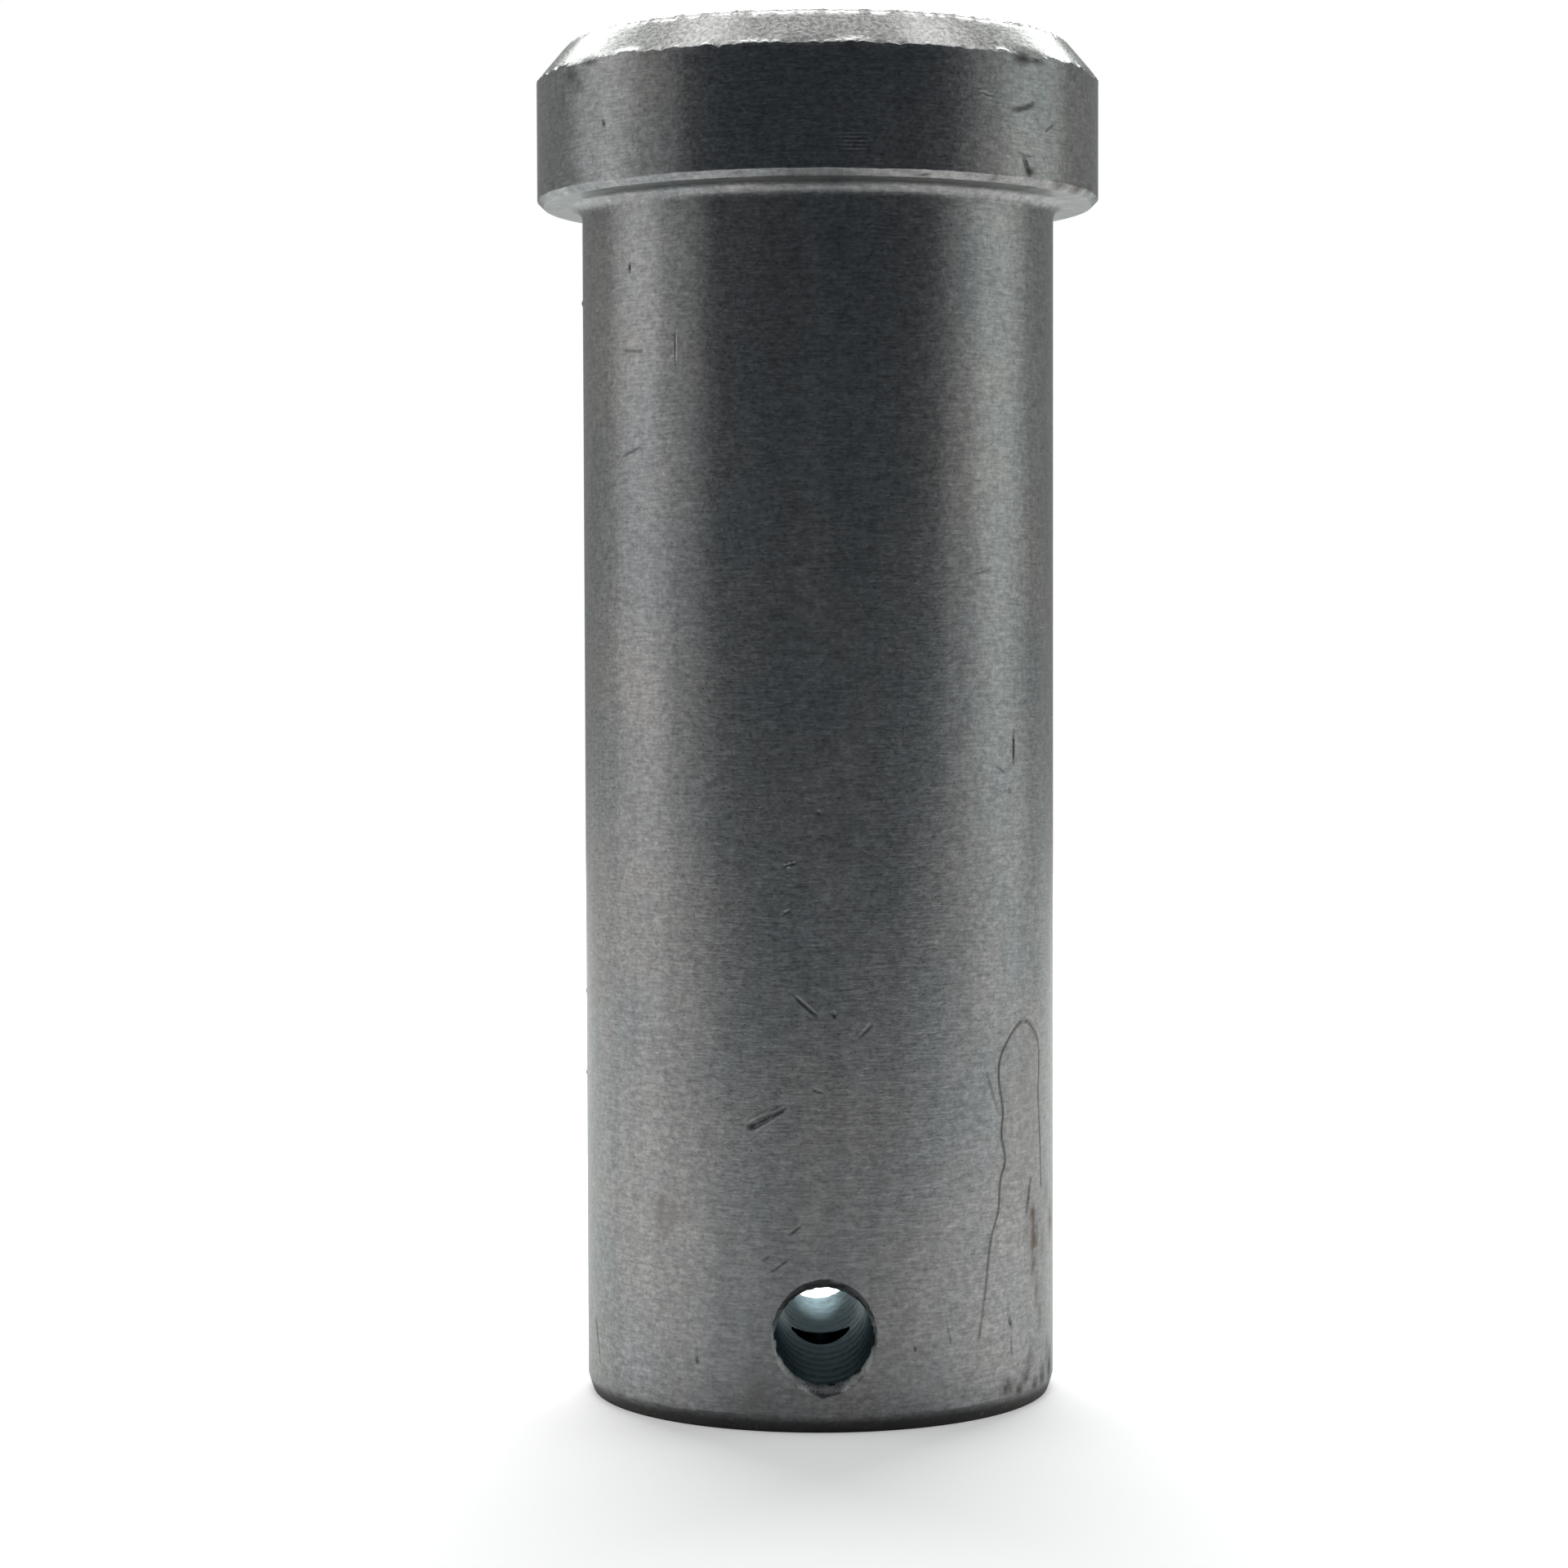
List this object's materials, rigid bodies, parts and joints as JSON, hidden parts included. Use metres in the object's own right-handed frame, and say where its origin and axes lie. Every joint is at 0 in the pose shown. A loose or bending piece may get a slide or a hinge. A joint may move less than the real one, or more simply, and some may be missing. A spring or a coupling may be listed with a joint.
{
  "type": "clevis pin",
  "caption": "Plain steel clevis pin: a turned shank with a thick chamfered head, and a countersunk cotter hole across the shank near its plain end.",
  "frame": {"origin": "middle of the flat end face, at the plain end of the shank", "axes": "+Z along the pin's axis towards the head; +Y along the cotter hole; +X across it"},
  "size_m": [0.03, 0.03, 0.072],
  "materials": {
    "steel": "dull zinc-plated steel with fine turning marks, bright where the head's chamfer is bare, scratched and lightly stained"
  },
  "bodies": {
    "root": {"clevis_pin": "steel"}
  },
  "joints": []
}
